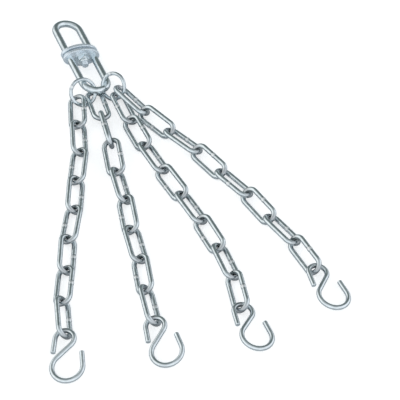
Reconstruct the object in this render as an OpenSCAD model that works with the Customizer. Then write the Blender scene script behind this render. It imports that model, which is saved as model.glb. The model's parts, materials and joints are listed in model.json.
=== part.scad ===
// Four-leg chain sling: a swivel with two wire loops, two round rings, four legs of
// long welded links and a bent S-hook on the end of each leg. All of it is zinc-plated
// steel wire and plate, laid out on a flat surface as it is put down.
//
// Origin: centre of the bend of the upper loop, where the sling hangs.
// +Y runs up the swivel's axis, +X is to its right and +Z is up from the surface.

/* [Chain links] */
// Diameter of the link wire
link_wire = 4.2; // [4:0.1:4.3]
// Inside length of a link
link_pitch = 32.4; // [31:0.1:35]
// Outside width of a link
link_width = 17; // [16.5:0.5:18]
// Free play where two wires hook into each other
play = 0.6; // [0.5:0.05:0.8]
// How far each link leans from lying flat, one way and the other in turn
link_lean = 33; // [31:1:40]

/* [Swivel] */
// Diameter of the loop rod
loop_rod = 4.8; // [4:0.1:5]
// Bend radius of the loops, to the middle of the rod
loop_bend = 11.2; // [10.5:0.1:12]
// Distance between the bends of the two loops
loop_span = 69; // [66:1:74]
// Width of the oval swivel plates
plate_width = 34; // [32:0.5:36]
// Height of the oval swivel plates
plate_height = 19; // [17:0.5:21]
// Thickness of the swivel plates
plate_thick = 3.2; // [2.5:0.1:3.6]
// Distance from the bend of the upper loop to the upper plate
plate_drop = 28; // [26:0.5:29]
// Angle the swivel leans over on the surface
swivel_lean = 14; // [8:1:18]
// Diameter of the swivel bolt
bolt_d = 6; // [5:0.5:6]
// Width of the lock nut across its flats
nut_flats = 10; // [9:0.5:10.5]

/* [Rings] */
// Diameter of the ring wire
ring_wire = 3.2; // [3:0.1:3.4]
// Outside diameter of the rings
ring_d = 25.6; // [25.4:0.1:26.4]
// Place of the left ring's centre on the surface
left_ring_at = [-13.5, -76.6]; // [-90:0.1:20]
// Place of the right ring's centre on the surface
right_ring_at = [13, -80.3]; // [-90:0.1:20]
// How far each ring is propped up from lying flat
ring_tilt = [49, 53]; // [48:1:54]
// Compass turn of each ring's high side, from +Y towards +X
ring_turn = [-11, 61]; // [-14:1:64]

/* [Hooks] */
// Diameter of the hook wire
hook_wire = 4; // [3.6:0.1:4.2]
// Radius of the hook's eye, to the middle of the wire
eye_r = 7.5; // [7:0.1:8]
// Radius of the hook's bowl, to the middle of the wire
bowl_r = 12; // [11:0.1:13]
// Distance along the hook from the eye's centre to the bowl's centre
hook_length = 24.7; // [24:0.1:27]
// Sideways step from the eye's centre to the bowl's centre
bowl_offset = 1.8; // [1:0.1:2.5]
// Length of the straight tail beside the eye
tail = 12.6; // [9:0.1:13]
// Length of the straight tip above the bowl
hook_tip = 11.5; // [8:0.1:12]
// Slack between the last link and the hook's eye
hook_slack = 1; // [0.8:0.1:2]
// How far each hook leans over, right side up
hook_lean = [8, 12, -12, -12]; // [-16:1:14]
// Turn of each hook from the heading of its leg's last link
hook_turn = [0, 8, 12, -2]; // [-4:1:14]
// How far the last link of each leg leans
last_lean = [45, 49, 42, 42]; // [38:1:60]

/* [Leg lay] */
// Heading of leg 1 at its start, middle and end, from straight down towards +X
leg1_heading = [-14, -26, -18]; // [-30:1:35]
// Heading of leg 2 at its start, middle and end
leg2_heading = [-10.5, -10, -11.5]; // [-30:1:35]
// Heading of leg 3 at its start, middle and end
leg3_heading = [-5, 8, -11]; // [-30:1:35]
// Heading of leg 4 at its start, middle and end
leg4_heading = [26, 18, 9]; // [-30:1:35]
// Where each leg sits round its ring, in degrees from the ring's high side
leg_seat = [233, 132, 126, 92]; // [90:1:236]
// Slack of each leg's first link in its ring
leg_slack = [3.7, 0.9, 0.6, 2.9]; // [0:0.1:4]
// Extra turn of each leg's first link
first_turn = [-2, 6, 4, -7]; // [-7:1:9]
// Zigzag of the links about each leg's curve
zigzag = [-2, -2, 0, 2.5]; // [-3:0.5:3]
// Roll of all of a leg's links to one side
leg_roll = [-5, 3, 0, 4]; // [-6:1:6]

/* [Hidden] */
$fn = 48;
links = 8;                                    // links in a leg
link_bend = (link_width - link_wire) / 2;     // bend radius of a link's ends
link_length = link_pitch + link_wire;         // between the wires of a link's two ends
ring_r = (ring_d - ring_wire) / 2;

// The leaning plates touch the surface, and so set the height of the swivel's axis.
axis_height = norm([plate_width / 2 * sin(swivel_lean), plate_height / 2 * cos(swivel_lean)]);
surface = -axis_height;

// Places along the swivel's axis, down from the origin
plate_gap = 2;
upper_face = -plate_drop;
gap_top = upper_face - plate_thick;
gap_bottom = gap_top - plate_gap;
lower_face = gap_bottom - plate_thick;
washer_thick = 0.8;
nut_top = lower_face - washer_thick - 0.1;
nut_height = 4.2;
collar_height = 1.8;
bolt_end = nut_top - nut_height - collar_height - 3.6;
peen = 0.75;                                  // height of a rod's riveted end

ring_at = [left_ring_at, right_ring_at];
leg_ring = [0, 0, 1, 1];                      // 0 is the left ring, 1 the right
leg_heading = [leg1_heading, leg2_heading, leg3_heading, leg4_heading];
lean_sign = [1, 1, -1, -1];
first_leans = [[24], [-5, -76, 20, -46], [-30], [-35]];   // leg 2 starts twisted

zinc = [0.80, 0.83, 0.87];
bright_zinc = [0.86, 0.88, 0.90];

function link_name(leg, n) = str("leg", leg, "_link", n);

// ---- Where the chain lies ----

// Centre of a ring: its low edge rests on the surface.
function ring_centre(r) =
    [ring_at[r].x, ring_at[r].y, surface + ring_r * sin(ring_tilt[r]) + ring_wire / 2 + 0.05];

// Middle of the ring's wire under a leg
function seat(leg) =
    let (r = leg_ring[leg - 1], a = leg_seat[leg - 1], t = ring_tilt[r], w = ring_turn[r],
         uphill = [sin(w) * cos(t), cos(w) * cos(t), sin(t)],
         across = [cos(w), -sin(w), 0])
    ring_centre(r) + ring_r * (cos(a) * uphill + sin(a) * across);

// Heading of link n: a smooth curve through start, middle and end, with a zigzag
function heading(leg, n) =
    let (t = (n - 1) / (links - 1), h = leg_heading[leg - 1])
    h[0] * (1 - t) * (1 - 2 * t) + h[1] * 4 * t * (1 - t) + h[2] * t * (2 * t - 1)
    + zigzag[leg - 1] * (n % 2 == 1 ? 1 : -1) + (n == 1 ? first_turn[leg - 1] : 0);

// Lean of link n about its own length
function lean(leg, n) =
    n <= len(first_leans[leg - 1])
        ? first_leans[leg - 1][n - 1]
        : leg_roll[leg - 1]
          + lean_sign[leg - 1] * (n % 2 == 1 ? 1 : -1)
            * (n == links ? last_lean[leg - 1] : link_lean);

// Height of a link's middle line when it leans with one strand on the surface
function lie(leg, n) = surface + link_wire / 2 + link_bend * abs(sin(lean(leg, n)));

// Height of the joint below link n, set by the higher of its two links
function joint_height(leg, n) = n < links ? max(lie(leg, n), lie(leg, n + 1)) : lie(leg, n);

// Length from the wire that holds link n to the wire at the link's far end
function reach(leg, n) =
    n == 1 ? link_length - (link_wire + ring_wire) / 2 - play - leg_slack[leg - 1]
           : link_length - link_wire - play;

function slope(leg, n) = asin((joint_height(leg, n) - pivot(leg, n).z) / reach(leg, n));

// Middle of the wire that holds link n; n = links + 1 gives the wire that holds the hook
function pivot(leg, n) =
    n == 1 ? seat(leg)
           : let (h = heading(leg, n - 1), last = pivot(leg, n - 1), run = reach(leg, n - 1),
                  z = joint_height(leg, n - 1), flat = sqrt(run * run - pow(z - last.z, 2)))
             [last.x + flat * sin(h), last.y - flat * cos(h), z];

// ---- Round bar ----

// Straight bar of diameter d from the origin, length l along -Y
module bar(d, l) {
    rotate([90, 0, 0]) cylinder(d = d, h = l);
}

// Bent bar in the XY plane about the origin, from angle a through sweep
module bend(r, d, a, sweep) {
    rotate([0, 0, a]) rotate_extrude(angle = sweep, $fn = 96) translate([r, 0]) circle(d = d);
}

// Straight bar that runs on from a bend: it starts just inside the bend and is a hair
// thinner, so that the two join cleanly at any angle
module run_on(d, l) {
    translate([0, 0.2, 0]) bar(d - 0.03, l + 0.2);
}

// ---- Swivel ----

module on_swivel() {
    rotate([0, swivel_lean, 0]) children();
}

// Oval plate of the swivel, its upper face at y, bored for the bolt and for the loop's legs
module swivel_plate(y, bolt_hole) {
    translate([0, y, 0]) rotate([90, 0, 0]) difference() {
        linear_extrude(plate_thick)
            polygon([for (a = [0:5:355]) [plate_width / 2 * cos(a), plate_height / 2 * sin(a)]]);
        translate([0, 0, -1]) cylinder(d = bolt_hole, h = plate_thick + 2);
        for (side = [-1, 1])
            translate([side * loop_bend, 0, -1]) cylinder(d = loop_rod + 0.1, h = plate_thick + 2);
    }
}

// U-shaped loop with its bend at the origin and its legs down -Y to a plate's far face,
// where each leg is riveted over
module swivel_loop(leg_length) {
    bend(loop_bend, loop_rod, 0, 180);
    for (side = [-1, 1]) translate([side * loop_bend, 0, 0]) {
        bar(loop_rod, leg_length);
        translate([0, -leg_length, 0]) bar(loop_rod + 1.4, peen);
    }
}

module upper_loop() {
    color(zinc) on_swivel() swivel_loop(plate_drop + plate_thick);
}

module upper_plate() {
    color(zinc) on_swivel() swivel_plate(upper_face, bolt_d + 0.1);
}

// Round-headed bolt: head on the upper plate, shank down through both plates and the nut
module swivel_bolt() {
    color(zinc) on_swivel() {
        translate([0, upper_face + 3, 0]) bar(12, 3);
        translate([0, upper_face, 0]) bar(bolt_d, upper_face - bolt_end - 0.8);
        translate([0, bolt_end + 0.8, 0]) rotate([90, 0, 0])
            cylinder(d1 = bolt_d, d2 = bolt_d - 1.6, h = 0.8);
    }
}

// Flat round washer with its upper face at y
module washer(y, d, thick) {
    translate([0, y, 0]) rotate([90, 0, 0]) difference() {
        cylinder(d = d, h = thick);
        translate([0, 0, -1]) cylinder(d = bolt_d + 0.16, h = thick + 2);
    }
}

module thrust_washer() {
    color(bright_zinc) on_swivel() washer(gap_top, 13, plate_gap - 0.1);
}

module lower_plate() {
    color(zinc) on_swivel() swivel_plate(gap_bottom, bolt_d + 0.16);
}

module lower_loop() {
    color(zinc) on_swivel() translate([0, -loop_span, 0]) mirror([0, 1, 0])
        swivel_loop(loop_span + gap_bottom);
}

module nut_washer() {
    color(bright_zinc) on_swivel() washer(lower_face - 0.1, 12, washer_thick);
}

// Hexagon nut with the round collar of its locking insert
module lock_nut() {
    color(bright_zinc) on_swivel() translate([0, nut_top, 0]) rotate([90, 0, 0]) difference() {
        union() {
            cylinder(d = nut_flats / cos(30), h = nut_height, $fn = 6);
            cylinder(d = nut_flats - 1.6, h = nut_height + collar_height);
        }
        translate([0, 0, -1]) cylinder(d = bolt_d + 0.04, h = nut_height + collar_height + 2);
    }
}

// ---- Rings ----

module ring(r) {
    color(bright_zinc) translate(ring_centre(r)) rotate([ring_tilt[r], 0, -ring_turn[r]])
        rotate_extrude($fn = 96) translate([ring_r, 0]) circle(d = ring_wire);
}

module ring_left() { ring(0); }
module ring_right() { ring(1); }

// ---- Chain links ----

// Long welded link along Y, in the XY plane, the wire of its far end at [0, -far, 0]
module chain_link(far) {
    straight = link_length - 2 * link_bend;
    translate([0, link_bend - far, 0]) {
        bend(link_bend, link_wire, 180, 180);
        translate([0, straight, 0]) bend(link_bend, link_wire, 0, 180);
        for (side = [-1, 1])
            translate([side * link_bend, straight, 0]) bar(link_wire, straight);
    }
}

module leg_link(leg, n) {
    color(zinc) translate(pivot(leg, n)) rotate([0, 0, heading(leg, n)])
        rotate([-slope(leg, n), 0, 0]) rotate([0, -lean(leg, n), 0]) chain_link(reach(leg, n));
}

// ---- Hooks ----

// S-hook in the XY plane. Its eye's wire crosses the origin along X, its length runs
// down -Y and its bowl opens towards +X.
module s_hook() {
    tail_turn = 8;
    eye = [0, -eye_r];
    bowl = [bowl_offset, -eye_r - hook_length];
    span = norm(bowl - eye);
    // The neck is the crossing tangent from the eye's circle to the bowl's.
    cross = asin((eye_r + bowl_r) / span);
    line = atan2(bowl.y - eye.y, bowl.x - eye.x);
    neck = line - cross;
    neck_side = neck + 90;
    neck_length = sqrt(span * span - pow(eye_r + bowl_r, 2));
    tail_side = 180 - tail_turn;
    eye_sweep = tail_side - neck_side - 360 * floor((tail_side - neck_side) / 360);
    bowl_sweep = 3 - (neck_side + 180) + 360 * ceil((neck_side + 177) / 360);

    translate(eye) {
        bend(eye_r, hook_wire, neck_side, eye_sweep);
        rotate([0, 0, tail_side]) translate([eye_r, 0, 0]) rotate([0, 0, 180])
            run_on(hook_wire, tail);
        rotate([0, 0, neck_side]) translate([eye_r, 0, 0]) run_on(hook_wire, neck_length + 0.2);
    }
    translate(bowl) {
        bend(bowl_r, hook_wire, neck_side + 180, bowl_sweep);
        rotate([0, 0, 3]) translate([bowl_r, 0, 0]) rotate([0, 0, 180])
            run_on(hook_wire, hook_tip);
    }
}

// A hook lies down from its link until the low side of its bowl meets the surface.
module hook(leg) {
    at = pivot(leg, links + 1);
    grip = (link_wire + hook_wire) / 2 + hook_slack;
    rest_height = surface + hook_wire / 2 + bowl_r * abs(sin(hook_lean[leg - 1])) + 0.7;
    dip = asin((at.z - rest_height) / (eye_r + hook_length - grip));
    color(bright_zinc) translate(at)
        rotate([0, 0, heading(leg, links) + hook_turn[leg - 1]]) rotate([dip, 0, 0])
        rotate([0, -hook_lean[leg - 1], 0]) translate([0, grip, 0])
        rotate([0, 0, -atan2(bowl_offset, eye_r + hook_length)]) s_hook();
}

upper_loop();
upper_plate();
swivel_bolt();
thrust_washer();
lower_plate();
lower_loop();
nut_washer();
lock_nut();
ring_left();
ring_right();
for (leg = [1:4], n = [1:links])
    leg_link(leg, n);
for (leg = [1:4])
    hook(leg);
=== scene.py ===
import bpy
import json
import math
import numpy as np
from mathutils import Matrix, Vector
from mathutils.geometry import tessellate_polygon

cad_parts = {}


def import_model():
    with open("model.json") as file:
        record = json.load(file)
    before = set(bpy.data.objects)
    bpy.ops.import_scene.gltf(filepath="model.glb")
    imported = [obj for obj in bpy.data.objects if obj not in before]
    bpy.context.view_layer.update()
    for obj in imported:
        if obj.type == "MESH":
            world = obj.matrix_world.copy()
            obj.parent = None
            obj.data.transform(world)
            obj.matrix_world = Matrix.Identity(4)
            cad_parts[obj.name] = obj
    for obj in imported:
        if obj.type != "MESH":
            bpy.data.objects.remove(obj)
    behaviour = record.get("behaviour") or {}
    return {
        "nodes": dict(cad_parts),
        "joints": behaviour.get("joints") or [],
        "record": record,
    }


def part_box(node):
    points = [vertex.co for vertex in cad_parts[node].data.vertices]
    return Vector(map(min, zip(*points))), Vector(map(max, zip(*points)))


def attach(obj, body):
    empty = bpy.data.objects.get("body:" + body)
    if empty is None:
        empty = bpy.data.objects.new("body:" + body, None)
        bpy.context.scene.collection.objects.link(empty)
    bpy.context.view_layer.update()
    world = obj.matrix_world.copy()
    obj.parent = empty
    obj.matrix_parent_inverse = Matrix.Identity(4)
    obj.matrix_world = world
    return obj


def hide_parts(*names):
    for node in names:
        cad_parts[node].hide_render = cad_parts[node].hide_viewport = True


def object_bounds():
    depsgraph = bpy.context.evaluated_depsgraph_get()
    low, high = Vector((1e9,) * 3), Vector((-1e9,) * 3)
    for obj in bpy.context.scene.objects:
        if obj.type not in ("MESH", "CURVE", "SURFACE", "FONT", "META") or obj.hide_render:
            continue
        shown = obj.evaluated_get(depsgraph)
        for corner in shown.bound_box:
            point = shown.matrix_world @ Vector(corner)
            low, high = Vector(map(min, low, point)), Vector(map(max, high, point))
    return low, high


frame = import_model()
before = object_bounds()
joints = {j["name"]: j for j in frame["joints"]}
mounts = {m["name"]: m for m in frame["record"]["mounts"]}
MM = 0.001
LEGS, LINKS = 4, 8
FLOOR = before[0][2]

# ---- Materials ----


def node(tree, kind, **values):
    """Adds a node. A value is a number or colour for the input of that name, or an output."""
    n = tree.nodes.new("ShaderNode" + kind)
    for name, v in values.items():
        socket = n.inputs[name.replace("_", " ")]
        if isinstance(v, bpy.types.NodeSocket):
            tree.links.new(v, socket)
        else:
            socket.default_value = v
    return n


def noise(tree, coords, scale, detail):
    """Noise from 0 to 1, scale being cells to the metre."""
    return node(tree, "TexNoise", Vector=coords, Scale=scale, Detail=float(detail)).outputs["Fac"]


def remap(tree, value, low, high, to_low, to_high):
    """A value stretched from low..high to to_low..to_high."""
    n = node(tree, "MapRange", Value=value, From_Min=low, From_Max=high,
             To_Min=to_low, To_Max=to_high)
    return n.outputs["Result"]


def mix(tree, fac, a, b):
    """Colour a where fac is 0 and b where it is 1."""
    n = tree.nodes.new("ShaderNodeMix")
    n.data_type = "RGBA"
    for socket, v in ((n.inputs[0], fac), (n.inputs[6], a), (n.inputs[7], b)):
        if isinstance(v, bpy.types.NodeSocket):
            tree.links.new(v, socket)
        else:
            socket.default_value = (*v, 1) if isinstance(v, tuple) else v
    return n.outputs[2]


def zinc(name, light, dull, rough, bump, metal=1.0):
    """Zinc plating: bluish metal, clouded in tint and gloss, pale and dull on welds and burnt
    beside them, with painted shade where pieces meet."""
    m = bpy.data.materials.new(name)
    m.use_nodes = True
    t = m.node_tree
    bsdf = t.nodes["Principled BSDF"]
    coords = t.nodes.new("ShaderNodeTexCoord").outputs["Object"]
    marks_and_shade = t.nodes.new("ShaderNodeAttribute")
    marks_and_shade.attribute_name = "marks_and_shade"
    split = node(t, "SeparateColor", Color=marks_and_shade.outputs["Color"])
    weld, painted_shade, burnt = (split.outputs[c] for c in ("Red", "Green", "Blue"))
    cloud = remap(t, noise(t, coords, 240, 4), 0.35, 0.65, 0, 1)
    fleck = remap(t, noise(t, coords, 1500, 2), 0.4, 0.7, 0, 1)
    base = mix(t, cloud, dull, light)
    base = mix(t, burnt, base, (0.34, 0.36, 0.37))
    base = mix(t, weld, base, (0.97, 0.98, 0.98))
    # Painted shade: darkened where links overlap at their crowns and where the hooks' eyes hang in
    # them.
    base = mix(t, painted_shade, base, (0.38, 0.39, 0.40))
    t.links.new(base, bsdf.inputs["Base Color"])
    gloss = remap(t, fleck, 0, 1, rough * 0.75, rough * 1.35)
    t.links.new(remap(t, weld, 0, 1, gloss, 0.5), bsdf.inputs["Roughness"])
    grain = node(t, "Bump", Height=noise(t, coords, 1900, 3), Strength=bump, Distance=0.0001)
    dents = node(t, "Bump", Height=noise(t, coords, 320, 1), Strength=bump, Distance=0.0006,
                 Normal=grain.outputs["Normal"])
    t.links.new(dents.outputs["Normal"], bsdf.inputs["Normal"])
    bsdf.inputs["Metallic"].default_value = metal
    return m


ZINC = zinc("zinc_wire", (0.84, 0.90, 0.92), (0.68, 0.74, 0.76), 0.13, 0.25)
PLATE = zinc("zinc_plate", (0.86, 0.93, 0.98), (0.74, 0.83, 0.90), 0.30, 0.35, 0.55)
BRIGHT = zinc("bright_zinc", (0.86, 0.92, 0.94), (0.74, 0.79, 0.81), 0.10, 0.18)
RING = zinc("zinc_ring", (0.78, 0.84, 0.87), (0.58, 0.63, 0.65), 0.14, 0.25)

# ---- Round bar swept along a path ----


def arc(r, start, end, n):
    """Points on a circle of radius r from angle start to end, in degrees, in the XY plane."""
    a = np.radians(np.linspace(start, end, n))
    return np.stack([r * np.cos(a), r * np.sin(a), np.zeros(n)], 1)


def tube(name, path, radius, closed, place, marks_and_shade=None, sides=20):
    """Round bar along a path in the local XY plane. radius has one entry for each point, and so has
    the table after place: how much of a weld, of painted shade where pieces meet and of burning
    there is."""
    path = np.asarray(path, float)
    n = len(path)
    radius = np.broadcast_to(radius, n)
    tangent = np.roll(path, -1, 0) - np.roll(path, 1, 0) if closed else np.gradient(path, axis=0)
    tangent /= np.linalg.norm(tangent, axis=1, keepdims=True)
    up = np.array([0.0, 0.0, 1.0])
    side = np.cross(tangent, up)
    a = np.arange(sides) * 2 * math.pi / sides
    ring = side[:, None] * np.cos(a)[None, :, None] + up * np.sin(a)[None, :, None]
    verts = path[:, None] + ring * radius[:, None, None]
    faces = [(i * sides + k, i * sides + (k + 1) % sides,
              (i + 1) % n * sides + (k + 1) % sides, (i + 1) % n * sides + k)
             for i in range(n if closed else n - 1) for k in range(sides)]
    if not closed:
        faces += [tuple(range(sides))[::-1], tuple((n - 1) * sides + k for k in range(sides))]
    o = new_piece(name, verts.reshape(-1, 3), faces, place)
    if marks_and_shade is not None:
        layer = o.data.color_attributes.new("marks_and_shade", "FLOAT_COLOR", "POINT")
        rows = np.repeat(np.asarray(marks_and_shade, float), sides, 0)
        layer.data.foreach_set("color", np.hstack([rows, np.ones_like(rows[:, :1])]).ravel())
    return o


def new_piece(name, verts, faces, place, smooth=True):
    """Mesh in local millimetres, placed by (origin in metres, 3x3 axes as columns). Its
    four-sided faces are shaded smooth, or none are."""
    origin, axes = place
    verts = np.asarray(verts) * MM @ axes.T + origin
    mesh = bpy.data.meshes.new(name)
    mesh.from_pydata(verts.tolist(), [], faces)
    for p in mesh.polygons:
        p.use_smooth = smooth and len(p.vertices) == 4
    o = bpy.data.objects.new(name, mesh)
    bpy.context.scene.collection.objects.link(o)
    return o


def fit(o, material, slot, body, *nodes):
    """Gives a piece its material and lets it ride a body in place of CAD nodes; its slot is not
    used.
    """
    o.data.materials.append(material)
    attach(o, body)
    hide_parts(*nodes)


# ---- Where things are, from the CAD frame ----


def cad_points(name):
    """Vertices of a CAD node, in metres."""
    o = frame["nodes"][name]
    v = np.empty(len(o.data.vertices) * 3)
    o.data.vertices.foreach_get("co", v)
    return v.reshape(-1, 3)


def corners(name, place):
    """Lowest and highest corner of a CAD node in a local frame, in millimetres."""
    local = (cad_points(name) - place[0]) @ place[1] / MM
    return local.min(0), local.max(0)


def unit(v):
    """Vector of length one along v."""
    return v / np.linalg.norm(v)


def axes_from(y, x):
    """Columns x, y, z of a frame with y kept and x made square to it."""
    y = unit(y)
    z = unit(np.cross(x, y))
    return np.stack([np.cross(y, z), y, z], 1)


def joint_at(name):
    """Place and axis of a joint, in metres."""
    return np.array(joints[name]["pos_m"]), np.array(joints[name]["axis"])


# ---- Chain links ----

# The weld swells the wire by BEAD over BEAD_REACH to each side of it, between two grooves, all mm
BEAD, BEAD_REACH = 0.2, 1.3
GROOVE, GROOVE_AT, GROOVE_REACH = 0.12, 2.1, 0.7
OTHER_STRAND = 99                    # stands for a distance that no weld reaches


def link_piece(leg, n):
    """Closed link of bent wire with a butt weld on one strand. It lies between its two joints."""
    name = f"leg{leg}_link{n}"
    top = joint_at(f"leg{leg}_joint{n}")[0]
    low, across = joint_at(f"leg{leg}_joint{n + 1}" if n < LINKS else f"hook{leg}_swing")
    if across[0] < 0:
        across = -across
    place = (top, axes_from(top - low, across))
    lo, hi = corners(name, place)
    wire = hi[2] - lo[2]
    bend = (hi[0] - lo[0] - wire) / 2
    y0, y1 = lo[1] + wire / 2 + bend, hi[1] - wire / 2 - bend
    side = WELD_SIDE[leg - 1][n - 1] * bend
    runs = [arc(bend, 180, 360, 25) + [0, y0, 0], strand(bend, y0, y1),
            arc(bend, 0, 180, 25) + [0, y1, 0], strand(-bend, y1, y0)]
    path = np.concatenate(runs)
    on_side = np.sign(path[:, 0]) == np.sign(side)
    from_weld = np.where(on_side, path[:, 1] - (y0 + y1) / 2, OTHER_STRAND)
    bead = np.exp(-(from_weld / BEAD_REACH) ** 4)
    groove = np.exp(-((np.abs(from_weld) - GROOVE_AT) / GROOVE_REACH) ** 2)
    radius = wire / 2 + BEAD * bead - GROOVE * groove
    # Painted shade on the crowns, where the links overlap, goes in the second column below.
    past_strand = np.abs(path[:, 1] - (y0 + y1) / 2) - (y1 - y0) / 2
    crown = np.clip((past_strand - 0.55 * bend) / (0.4 * bend), 0, 1)
    o = tube(name + "_wire", path, radius, True, place,
             np.stack([bead, 0.8 * crown, 0.45 * groove], 1))
    fit(o, ZINC, "zinc", name, name)


def strand(x, start, end):
    """Points of a straight strand, closer together about its middle."""
    t = np.linspace(-1, 1, 31)[1:-1]
    t = np.sign(t) * np.abs(t) ** 1.5
    y = (start + end) / 2 + t * (end - start) / 2
    return np.stack([np.full(len(y), x), y, np.zeros(len(y))], 1)


# Side of each link's butt weld: 1 towards +X, -1 towards -X
WELD_SIDE = [[1, 1, -1, 1, -1, 1, 1, 1], [1, -1, 1, 1, -1, 1, -1, 1],
             [-1, 1, 1, -1, 1, -1, 1, 1], [1, -1, 1, 1, -1, 1, 1, 1]]

for leg in range(1, LEGS + 1):
    for n in range(1, LINKS + 1):
        link_piece(leg, n)


# ---- Rings ----

RING_BEAD, RING_BEAD_REACH = 0.14, 5           # swelling in mm, and its reach in degrees
RING_BURN_AT, RING_BURN_REACH = 9, 3           # burnt band beside the weld, in degrees


def flat_axis(name):
    """Direction across a flat bent piece, pointing up, from its CAD node."""
    v = cad_points(name)
    z = np.linalg.svd(np.cov((v - v.mean(0)).T))[0][:, 2]
    return z if z[2] > 0 else -z


def ring_piece(name, weld_at):
    """Welded ring, its weld at an angle of weld_at degrees round it."""
    z = flat_axis(name)
    lo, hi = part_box(name)
    centre = (np.array(lo) + np.array(hi)) / 2
    x = unit(np.cross((0, 1, 0), z))
    place = (centre, np.stack([x, np.cross(z, x), z], 1))
    lo, hi = corners(name, place)
    wire = hi[2] - lo[2]
    r = (hi[0] - lo[0] - wire) / 2
    angle = np.linspace(0, 360, 145)[:-1]
    away = (angle - weld_at + 180) % 360 - 180
    bead = np.exp(-(away / RING_BEAD_REACH) ** 4)
    burn = np.exp(-((np.abs(away) - RING_BURN_AT) / RING_BURN_REACH) ** 2)
    path = arc(r, 0, 360, 145)[:-1]
    o = tube(name + "_wire", path, wire / 2 + RING_BEAD * bead, True, place,
             np.stack([bead, 0 * bead, 0.6 * burn], 1))
    fit(o, RING, "bright_zinc", name, name)


ring_piece("ring_left", 150)
ring_piece("ring_right", 60)

# ---- Hooks ----

HOOK_WIRE = 4.0
EYE_R, BOWL_R = 7.5, 12.0            # bend radii, to the middle of the wire
HOOK_LENGTH, BOWL_OFFSET = 24.7, 1.8  # from the eye's centre to the bowl's, along and sideways
TAIL, TIP = 12.6, 11.5               # straight ends beside the eye and above the bowl
TAIL_SIDE, TIP_SIDE = 172.0, 3.0     # where they start, in degrees round the eye and the bowl
GRIP = 5.1                           # from the joint to the middle of the eye's wire


def hook_path():
    """Middle line of the hook: tail, eye, neck, bowl and tip. The eye's wire crosses the
    origin along X."""
    eye = np.array([0, -EYE_R, 0])
    bowl = np.array([BOWL_OFFSET, -EYE_R - HOOK_LENGTH, 0])
    span = np.linalg.norm(bowl - eye)
    line = math.degrees(math.atan2(bowl[1] - eye[1], bowl[0] - eye[0]))
    neck = line - math.degrees(math.asin((EYE_R + BOWL_R) / span)) + 90
    tail_side = TAIL_SIDE
    while tail_side < neck:
        tail_side += 360
    round_eye = arc(EYE_R, tail_side, neck, 60) + eye
    tip_side = TIP_SIDE
    while tip_side < neck + 180:
        tip_side += 360
    round_bowl = arc(BOWL_R, neck + 180, tip_side, 72) + bowl
    a = math.radians(tail_side)
    tail = round_eye[0] + np.outer(end_steps(TAIL)[::-1], (-math.sin(a), math.cos(a), 0))
    a = math.radians(tip_side)
    tip = round_bowl[-1] + np.outer(end_steps(TIP), (-math.sin(a), math.cos(a), 0))
    t = np.linspace(0, 1, 12)[1:-1, None]
    straight = round_eye[-1] * (1 - t) + round_bowl[0] * t
    return np.concatenate([tail, round_eye, straight, round_bowl, tip])


def end_steps(length):
    """Distances along a straight end, closer together at its cut face."""
    return np.concatenate([np.linspace(0, length - 0.8, 9)[1:],
                           length - np.array([0.5, 0.25, 0.1, 0])])


def hook_piece(leg):
    """S-hook of round wire with cut and rounded ends, hung by its eye from the leg's last joint."""
    name = f"hook{leg}"
    y = -np.array(mounts[name + "_bowl"]["axis"])
    z = flat_axis(name)
    y, x, z = unit(y), unit(np.cross(y, z)), unit(np.cross(np.cross(y, z), y))
    axes = np.stack([x, y, z], 1)
    pin = joint_at(f"{name}_swing")[0]
    place = (pin + axes @ np.array([0, GRIP, 0]) * MM, axes)
    path = hook_path()
    turn = -math.atan2(BOWL_OFFSET, EYE_R + HOOK_LENGTH)
    c, s = math.cos(turn), math.sin(turn)
    path = path @ np.array([[c, s, 0], [-s, c, 0], [0, 0, 1]])
    radius = np.full(len(path), HOOK_WIRE / 2)
    cut = np.array([0.72, 0.88, 0.97])
    radius[:3] *= cut
    radius[-3:] *= cut[::-1]
    # Painted shade about the eye, where it hangs in the last link.
    eye_painted_shade = np.exp(-(np.linalg.norm(path, axis=1) / 3.5) ** 2)
    o = tube(name + "_wire", path, radius, False, place,
             np.stack([0 * eye_painted_shade, 0.8 * eye_painted_shade, 0 * eye_painted_shade], 1))
    fit(o, BRIGHT, "bright_zinc", name, name)


for leg in range(1, LEGS + 1):
    hook_piece(leg)

# ---- Swivel ----

LEAN = math.radians(14)              # of the whole swivel, over to one side
RIM_R, EDGE = 0.8, 0.15              # rounding of a plate's rim, and of edges that are broken
ROD_X, ROD_HOLE = 11.2, 4.9          # of the two rod holes in each plate: place and diameter
PEEN, PEEN_LIP = 0.75, 0.7           # height of a rod's riveted end, and how far it stands out
HEAD_R, HEAD_H, DOME_H = 6.0, 3.0, 2.5  # of the bolt's round head
BOLT_R, POINT_R = 3.0, 2.35          # of the bolt's shank and of its end
THREAD, PITCH, THREAD_DEPTH = 9.0, 1.0, 0.32
NUT_FLATS, NUT_H, COLLAR_R = 10.0, 4.2, 4.2  # the hexagon's width and height, and the collar
SWIVEL = (np.zeros(3), np.array([[math.cos(LEAN), 0, math.sin(LEAN)], [0, 1, 0],
                                 [-math.sin(LEAN), 0, math.cos(LEAN)]]))


def lathe(name, profile, sides=64, shape=None, smooth=True):
    """Closed profile of (radius, height) turned about the swivel's axis. shape gives the radii
    for a profile point at all angles, for pieces that aren't round."""
    a = np.arange(sides) * 2 * math.pi / sides
    n = len(profile)
    rows = []
    for r, y in profile:
        rr = np.full(sides, r) if shape is None else shape(r, y, a)
        rows.append(np.stack([rr * np.cos(a), np.full(sides, y), rr * np.sin(a)], 1))
    faces = [(i * sides + k, (i + 1) % n * sides + k, (i + 1) % n * sides + (k + 1) % sides,
              i * sides + (k + 1) % sides) for i in range(n) for k in range(sides)]
    return new_piece(name, np.concatenate(rows), faces, SWIVEL, smooth)


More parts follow.
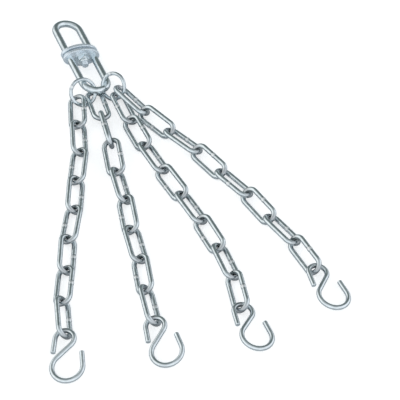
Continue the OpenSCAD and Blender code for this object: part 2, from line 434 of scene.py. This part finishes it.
def loop_piece(name, body, flip):
    """Bent rod with its bend at the top, its ends riveted over under a plate."""
    lo, hi = corners(name, SWIVEL)
    if flip:
        lo, hi = -hi, -lo
    rod = hi[2] - lo[2]
    bend = (hi[0] - lo[0] - rod) / 2
    top, bottom = hi[1] - rod / 2 - bend, lo[1]
    face = bottom + PEEN
    head = rod / 2 + PEEN_LIP
    ends = [(face + 0.5, rod / 2), (face + 0.02, rod / 2), (face, head - 0.15), (face - 0.12, head),
            (face - 0.35, head - 0.08), (face - 0.58, head - 0.5), (bottom, head - 1.4)]
    ys, rs = np.array([e[0] for e in ends]), np.array([e[1] for e in ends])
    legs = np.linspace(face + 0.5, top, 14)[1:-1]

    def column(x, y):
        return np.stack([np.full(len(y), x), y, np.zeros(len(y))], 1)

    path = np.concatenate([column(bend, ys[::-1]), column(bend, legs),
                           arc(bend, 0, 180, 41) + [0, top, 0],
                           column(-bend, legs[::-1]), column(-bend, ys)])
    radius = np.concatenate([rs[::-1], np.full(len(path) - 2 * len(rs), rod / 2), rs])
    if flip:
        path = -path
    o = tube(name + "_rod", path, radius, False, SWIVEL, np.zeros((len(path), 3)), sides=32)
    fit(o, ZINC, "zinc", body, name)


loop_piece("upper_loop", "hanger", False)
loop_piece("lower_loop", "lower_swivel", True)


def plate_piece(name, body, bolt_hole):
    """Stamped oval plate: rounded rim, drilled holes with broken edges."""
    lo, hi = corners(name, SWIVEL)
    a = np.radians(np.arange(0, 360, 3))
    w, h = hi[0], hi[2]
    thick = hi[1] - lo[1]
    verts, faces, loops = [], [], {0: [], 1: []}

    def wall(rings, outward):
        """Joins rings of points from the upper face to the lower one and notes both end loops."""
        start = len(verts)
        n = len(rings[0])
        for r in rings:
            verts.extend(r)
        for i in range(len(rings) - 1):
            for k in range(n):
                q = (start + i * n + k, start + i * n + (k + 1) % n,
                     start + (i + 1) * n + (k + 1) % n, start + (i + 1) * n + k)
                faces.append(q if outward else q[::-1])
        loops[0].append([start + k for k in range(n)])
        loops[1].append([start + (len(rings) - 1) * n + k for k in range(n)])

    def oval(inset, y):
        """Rim of the plate at height y, drawn in by inset."""
        return np.stack([(w - inset) * np.cos(a), np.full(len(a), y), (h - inset) * np.sin(a)], 1)

    def hole(x, r, y):
        """Edge of a hole of radius r at height y."""
        b = np.radians(np.arange(0, 360, 7.5))
        return np.stack([x + r * np.cos(b), np.full(len(b), y), r * np.sin(b)], 1)

    roll = [(RIM_R * (1 - math.sin(t)), RIM_R * (1 - math.cos(t)))
            for t in np.radians((0, 22, 45, 68, 90))]
    rim = [oval(i, hi[1] - d) for i, d in roll]
    rim += [oval(i, lo[1] + d) for i, d in roll[::-1]]
    wall(rim, True)
    for x, r in ((0, bolt_hole / 2), (-ROD_X, ROD_HOLE / 2), (ROD_X, ROD_HOLE / 2)):
        wall([hole(x, r + EDGE, hi[1]), hole(x, r, hi[1] - EDGE),
              hole(x, r, lo[1] + EDGE), hole(x, r + EDGE, lo[1])], False)
    for side in (0, 1):
        flat = [i for loop in loops[side] for i in loop]
        outline = [[Vector((verts[i][0], verts[i][2], 0)) for i in loop] for loop in loops[side]]
        for t in tessellate_polygon(outline):
            t = [flat[i] for i in t]
            u, v, q = (np.array(verts[i]) for i in t)
            up = np.cross(v - u, q - u)[1] > 0
            faces.append(tuple(t) if up == (side == 0) else tuple(t[::-1]))
    o = new_piece(name + "_stamped", verts, faces, SWIVEL)
    fit(o, PLATE, "zinc", body, name)


plate_piece("upper_plate", "hanger", 6.1)
plate_piece("lower_plate", "lower_swivel", 6.16)


def bolt_piece():
    """Round-headed bolt with a helical thread on its lower end."""
    lo, hi = corners("swivel_bolt", SWIVEL)
    head_top, end = hi[1], lo[1]
    under = head_top - HEAD_H
    profile = [(HEAD_R * math.sin(t), under + HEAD_H - DOME_H + DOME_H * math.cos(t))
               for t in np.radians(np.linspace(1, 90, 14))]
    profile += [(HEAD_R, under + EDGE), (HEAD_R - EDGE, under), (BOLT_R, under)]
    thread_top = end + THREAD
    ys = np.arange(thread_top, end + 0.4, -0.1)
    profile += [(BOLT_R, y) for y in ys] + [(POINT_R, end), (0.05, end)]

    def shape(r, y, a):
        if r != BOLT_R or y > thread_top - 0.05:
            return np.full(len(a), r)
        phase = (y - a / (2 * math.pi)) % PITCH
        depth = THREAD_DEPTH * np.abs(2 * phase - 1)
        return np.minimum(BOLT_R - depth, POINT_R + y - end)

    o = lathe("swivel_bolt_turned", profile, 48, shape)
    fit(o, PLATE, "zinc", "hanger", "swivel_bolt")


bolt_piece()


def nut_piece():
    """Hexagon nut with chamfered corners above a round locking collar."""
    lo, hi = corners("lock_nut", SWIVEL)
    top, bottom = hi[1], lo[1]
    step = top - NUT_H
    bore = BOLT_R + 0.02
    past_corner = 9                  # the flats cut it back in shape()
    profile = [(bore + 0.3, top), (4.7, top), (5.35, top - 0.35), (past_corner, top - 0.8),
               (past_corner, step + 0.8), (5.35, step + 0.35), (4.9, step + 0.05),
               (COLLAR_R, step - 0.15), (COLLAR_R, bottom + 0.7), (COLLAR_R - 0.2, bottom + 0.3),
               (COLLAR_R - 0.7, bottom), (bore + 0.2, bottom), (bore, bottom + 0.2),
               (bore, top - 0.3)]

    def shape(r, y, a):
        if r < COLLAR_R + 0.4:
            return np.full(len(a), r)
        sixth = math.pi / 3
        return np.minimum(r, NUT_FLATS / 2 / np.cos((a + sixth / 2) % sixth - sixth / 2))

    o = lathe("lock_nut_turned", profile, 72, shape, smooth=False)
    fit(o, BRIGHT, "bright_zinc", "hanger", "lock_nut")


nut_piece()


def washer_piece(name):
    """Flat washer with its outer edges broken."""
    lo, hi = corners(name, SWIVEL)
    r, top, bottom = hi[0], hi[1], lo[1]
    bore = BOLT_R + 0.08
    profile = [(bore, bottom), (bore, top), (r - EDGE, top), (r, top - EDGE), (r, bottom + EDGE),
               (r - EDGE, bottom)]
    o = lathe(name + "_turned", profile, smooth=False)
    fit(o, BRIGHT, "bright_zinc", "hanger", name)


washer_piece("thrust_washer")
washer_piece("nut_washer")

# ---- Floor, light, camera ----

FLOOR_SIZE, FLOOR_GAP = 60, 0.0002   # in metres; the gap keeps the floor clear of the metal
TURN = math.radians(22.5)            # of the camera about the object
DOWN = math.radians(49)              # of its line of sight
DISTANCE = 1.4565                    # from the aim point, in metres
FOCAL = 1766 / 400                   # focal length over the width of the image


def stage():
    """Pale paper: white to the camera and greyer in the metal, so that wire has an outline."""
    bpy.ops.mesh.primitive_plane_add(size=FLOOR_SIZE, location=(0, 0, FLOOR - FLOOR_GAP))
    floor = bpy.context.object
    floor.name = "floor"
    m = bpy.data.materials.new("paper")
    m.use_nodes = True
    t = m.node_tree
    bsdf = t.nodes["Principled BSDF"]
    seen = t.nodes.new("ShaderNodeLightPath").outputs["Is Camera Ray"]
    t.links.new(mix(t, seen, (0.62, 0.64, 0.66), (0.80, 0.80, 0.80)), bsdf.inputs["Base Color"])
    t.links.new(remap(t, seen, 0, 1, 0.0, 0.58), bsdf.inputs["Emission Strength"])
    bsdf.inputs["Emission Color"].default_value = (1, 1, 1, 1)
    bsdf.inputs["Roughness"].default_value = 0.9
    floor.data.materials.append(m)
    bpy.context.scene.view_settings.view_transform = "Standard"


def world():
    """Soft studio: white light on the left, in front and on the right, and a dim far wall."""
    w = bpy.data.worlds.new("studio")
    w.use_nodes = True
    bpy.context.scene.world = w
    t = w.node_tree
    way = t.nodes.new("ShaderNodeTexCoord").outputs["Generated"]
    c, s = math.cos(TURN), math.sin(TURN)

    def towards(x, y, z, low, high):
        """1 about a direction and 0 away from it, low and high being cosines."""
        dot = t.nodes.new("ShaderNodeVectorMath")
        dot.operation = "DOT_PRODUCT"
        t.links.new(way, dot.inputs[0])
        dot.inputs[1].default_value = Vector((x, y, z)).normalized()
        n = node(t, "MapRange", Value=dot.outputs["Value"], From_Min=low, From_Max=high)
        n.interpolation_type = "SMOOTHSTEP"
        return n.outputs["Result"]

    colour = (0.15, 0.18, 0.18)
    colour = mix(t, towards(c, -s, 0.1, 0.40, 0.85), colour, (0.92, 0.95, 1.0))   # right
    colour = mix(t, towards(0, 0, 1, 0.80, 1.0), colour, (0.45, 0.48, 0.50))      # overhead
    colour = mix(t, towards(-c, s, 0.1, 0.35, 0.80), colour, (0.98, 1.0, 1.0))    # left
    colour = mix(t, towards(-s, -c, 0.2, 0.10, 0.90), colour, (0.92, 0.96, 1.0))  # front
    t.links.new(colour, t.nodes["Background"].inputs["Color"])
    t.nodes["Background"].inputs["Strength"].default_value = 1.06


def camera():
    """Beyond the hooks, turned to one side and looking down at the sling."""
    c, s = math.cos(TURN), math.sin(TURN)
    swivel = Vector((-0.11776, 0.19029, 0))         # its place as seen from the aim point
    at = Vector((0, -DISTANCE * math.cos(DOWN), DISTANCE * math.sin(DOWN))) - swivel
    place = Vector((at.x * c + at.y * s, -at.x * s + at.y * c, at.z + FLOOR))
    look = Vector((s * math.cos(DOWN), c * math.cos(DOWN), -math.sin(DOWN)))
    data = bpy.data.cameras.new("camera")
    data.lens, data.sensor_width = 36 * FOCAL, 36
    data.clip_start, data.clip_end = 0.05, 50
    cam = bpy.data.objects.new("camera", data)
    cam.location = place
    cam.rotation_mode = "QUATERNION"
    cam.rotation_quaternion = look.to_track_quat("-Z", "Y")
    bpy.context.scene.collection.objects.link(cam)
    bpy.context.scene.camera = cam


stage()
world()
camera()
